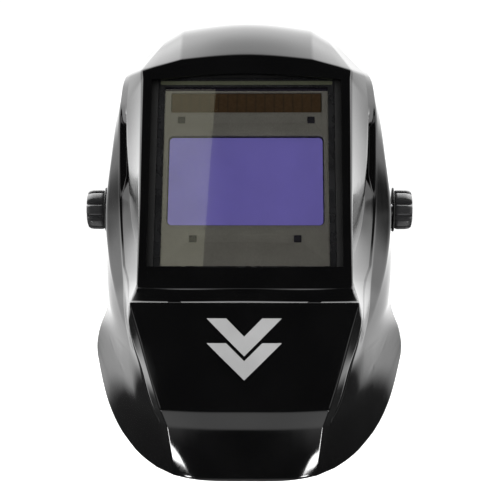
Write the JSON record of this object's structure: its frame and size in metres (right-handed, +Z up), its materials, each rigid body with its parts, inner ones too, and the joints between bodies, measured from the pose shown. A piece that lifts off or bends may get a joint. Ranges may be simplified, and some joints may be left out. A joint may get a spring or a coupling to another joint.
{
  "type": "welding helmet",
  "caption": "Auto-darkening welding helmet with a tilting shell, recessed filter window, side tension knobs and ratchet headgear.",
  "frame": {"origin": "middle of the tilt axis, between the two side pivots", "axes": "+Z up, the window faces -Y, +X to the wearer's left, which is the right of a front view"},
  "size_m": [0.2366, 0.3038, 0.2987],
  "materials": {
    "shell_black": "moulded nylon, gloss on the front faces",
    "holder_black": "moulded, fine texture",
    "cover_lens": "clear polycarbonate",
    "case_olive": "moulded, satin",
    "filter_glass": "violet interference coating",
    "lcd": "dark light valve",
    "solar": "brown solar cell under glass",
    "sensor": "dark sensor window",
    "board": "green board",
    "cell_steel": "plated",
    "dial_black": "moulded",
    "button_grey": "moulded",
    "knob_grey": "moulded nylon, satin",
    "brass": "turned",
    "bolt_steel": "zinc plated",
    "washer_nylon": "satin",
    "headgear_black": "flexible moulded band",
    "sweat_fabric": "brushed knit over foam"
  },
  "bodies": {
    "headgear": {"headband": "headgear_black", "sweatband": "sweat_fabric", "side_rail_left": "headgear_black", "side_rail_right": "headgear_black", "stop_bracket": "headgear_black", "crown_strap_front_left": "headgear_black", "crown_strap_front_right": "headgear_black", "crown_strap_rear_left": "headgear_black", "crown_strap_rear_right": "headgear_black", "strap_pins": "dial_black", "strap_rivets": "bolt_steel"},
    "carriages": {"pivot_block_left": "holder_black", "pivot_block_right": "holder_black", "pivot_bolt_left": "bolt_steel", "pivot_bolt_right": "bolt_steel", "friction_washer_left": "washer_nylon", "friction_washer_right": "washer_nylon"},
    "shell": {"helmet_shell": "shell_black", "filter_holder": "holder_black", "outer_cover_lens": "cover_lens", "filter_case_front": "case_olive", "filter_case_rear": "holder_black", "uv_ir_filter": "filter_glass", "lcd_panel": "lcd", "solar_cell": "solar", "arc_sensors": "sensor", "circuit_board": "board", "coin_cell": "cell_steel", "inner_cover_lens": "cover_lens"},
    "knob_left": {"tension_knob_left": "knob_grey", "knob_insert_left": "brass"},
    "knob_right": {"tension_knob_right": "knob_grey", "knob_insert_right": "brass"},
    "battery_cap": {"battery_cap": "dial_black"},
    "shade_dial": {"shade_dial": "dial_black"},
    "sensitivity_dial": {"sensitivity_dial": "dial_black"},
    "delay_dial": {"delay_dial": "dial_black"},
    "mode_switch": {"mode_switch": "button_grey"},
    "test_button": {"test_button": "button_grey"},
    "retainer": {"filter_retainer": "holder_black"},
    "tilt_stop": {"tilt_stop_lever": "dial_black"},
    "rear_cradle": {"rear_band": "headgear_black", "ratchet_housing": "headgear_black", "nape_pad": "sweat_fabric"},
    "ratchet_knob": {"ratchet_knob": "knob_grey", "ratchet_pinion": "dial_black"}
  },
  "joints": [
    {"name": "reach_slide", "type": "slide", "parent": "headgear", "child": "carriages", "axis": [0, 1, 0], "range_m": [-0.01, 0.01]},
    {"name": "shell_tilt", "type": "hinge", "parent": "carriages", "child": "shell", "pos_m": [0, 0, 0], "axis": [-1, 0, 0], "range_deg": [0, 75]},
    {"name": "knob_left_turn", "type": "hinge", "parent": "carriages", "child": "knob_left", "pos_m": [-0.11, 0, 0], "axis": [-1, 0, 0], "range_deg": [0, 360]},
    {"name": "knob_right_turn", "type": "hinge", "parent": "carriages", "child": "knob_right", "pos_m": [0.11, 0, 0], "axis": [1, 0, 0], "range_deg": [0, 360]},
    {"name": "tilt_stop_set", "type": "hinge", "parent": "headgear", "child": "tilt_stop", "pos_m": [0.0888, 0.012, -0.026], "axis": [1, 0, 0], "range_deg": [-10, 10]},
    {"name": "band_tighten", "type": "slide", "parent": "headgear", "child": "rear_cradle", "axis": [0, -0.8387, 0.5446], "range_m": [0, 0.02]},
    {"name": "ratchet_turn", "type": "hinge", "parent": "rear_cradle", "child": "ratchet_knob", "pos_m": [0, 0.09051, -0.03229], "axis": [0, 0.8387, -0.5446], "range_deg": [0, 191.5]},
    {"name": "retainer_swing", "type": "hinge", "parent": "shell", "child": "retainer", "pos_m": [0, -0.09647, 0.07806], "axis": [1, 0, 0], "range_deg": [0, 25]},
    {"name": "battery_cap_turn", "type": "hinge", "parent": "shell", "child": "battery_cap", "pos_m": [-0.03, -0.14512, -0.02587], "axis": [0, 0.9179, -0.3969], "range_deg": [0, 45]},
    {"name": "shade_turn", "type": "hinge", "parent": "shell", "child": "shade_dial", "pos_m": [0, -0.10386, 0.06197], "axis": [0, 0.9179, -0.3969], "range_deg": [0, 270]},
    {"name": "sensitivity_turn", "type": "hinge", "parent": "shell", "child": "sensitivity_dial", "pos_m": [-0.034, -0.10386, 0.06197], "axis": [0, 0.9179, -0.3969], "range_deg": [0, 270]},
    {"name": "delay_turn", "type": "hinge", "parent": "shell", "child": "delay_dial", "pos_m": [0.034, -0.10386, 0.06197], "axis": [0, 0.9179, -0.3969], "range_deg": [0, 270]},
    {"name": "mode_slide", "type": "slide", "parent": "shell", "child": "mode_switch", "axis": [1, 0, 0], "range_m": [0, 0.006]},
    {"name": "test_press", "type": "slide", "parent": "shell", "child": "test_button", "axis": [0, -0.9179, 0.3969], "range_m": [0, 0.0008], "stiffness_N_per_m": 150}
  ],
  "couplings": [
    {"joint": "ratchet_turn", "follows": "band_tighten", "rad_per_m": 166.67}
  ]
}
